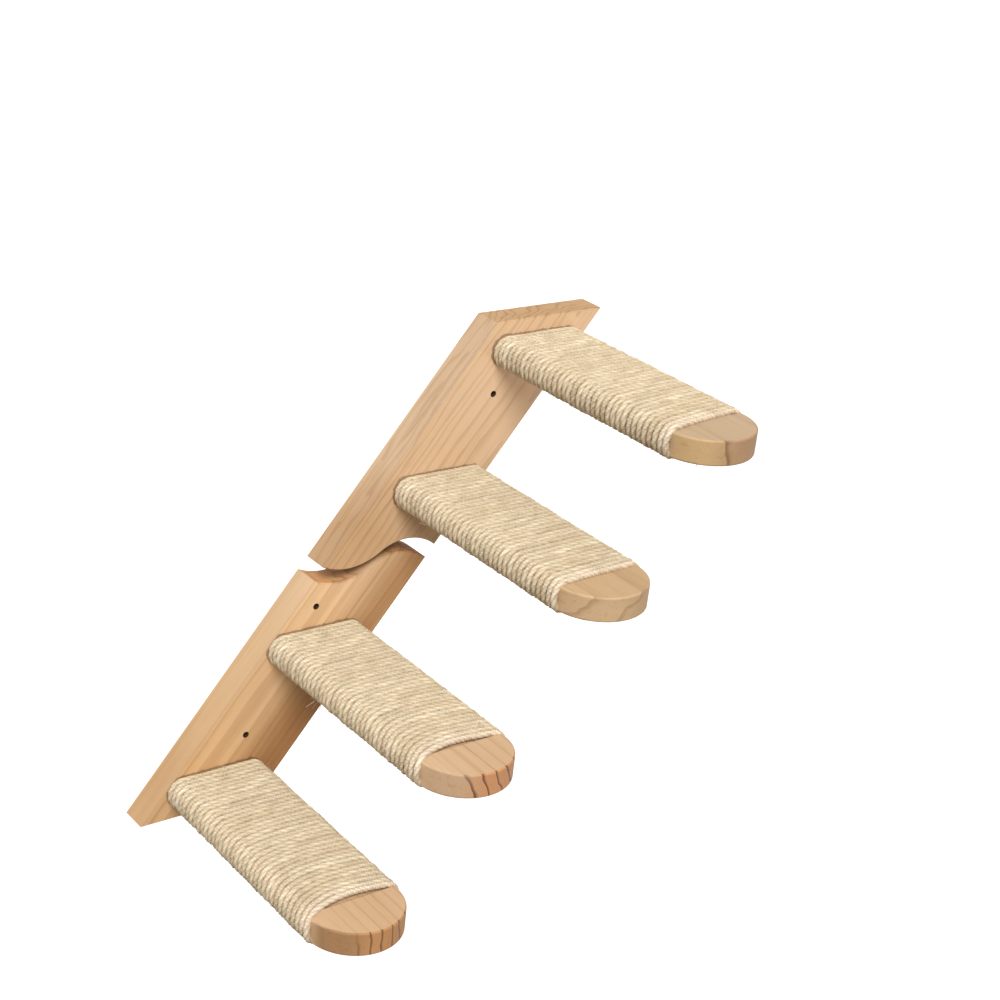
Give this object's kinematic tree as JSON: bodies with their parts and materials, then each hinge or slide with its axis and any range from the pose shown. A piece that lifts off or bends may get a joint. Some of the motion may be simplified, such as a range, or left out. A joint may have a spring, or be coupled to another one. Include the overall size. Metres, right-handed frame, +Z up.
{
  "type": "cat wall shelf",
  "caption": "Slanting wooden wall ladder for cats: S-jointed back boards carry round-tipped treads wound with sisal rope to climb and scratch.",
  "frame": {"origin": "wall end of the inner screw hole in the lower back board, on the wall plane", "axes": "+Y into the wall, +X to the right along the wall, +Z up; the treads point along -Y"},
  "size_m": [0.3916, 0.255, 0.3639],
  "materials": {
    "board_pine": "matt, sanded, unpainted",
    "tread_pine": "matt, sanded, unpainted",
    "sisal": "rough natural fibre rope",
    "screw_steel": "zinc plated",
    "staple_steel": "bright wire"
  },
  "bodies": {
    "root": {"lower_backboard": "board_pine", "upper_backboard": "board_pine", "tread_1_plank": "tread_pine", "tread_1_sisal_wrap": "sisal", "tread_1_screw_left": "screw_steel", "tread_1_screw_right": "screw_steel", "tread_1_staple_root": "staple_steel", "tread_1_staple_tip": "staple_steel", "tread_2_plank": "tread_pine", "tread_2_sisal_wrap": "sisal", "tread_2_screw_left": "screw_steel", "tread_2_screw_right": "screw_steel", "tread_2_staple_root": "staple_steel", "tread_2_staple_tip": "staple_steel", "tread_3_plank": "tread_pine", "tread_3_sisal_wrap": "sisal", "tread_3_screw_left": "screw_steel", "tread_3_screw_right": "screw_steel", "tread_3_staple_root": "staple_steel", "tread_3_staple_tip": "staple_steel", "tread_4_plank": "tread_pine", "tread_4_sisal_wrap": "sisal", "tread_4_screw_left": "screw_steel", "tread_4_screw_right": "screw_steel", "tread_4_staple_root": "staple_steel", "tread_4_staple_tip": "staple_steel"}
  },
  "joints": []
}
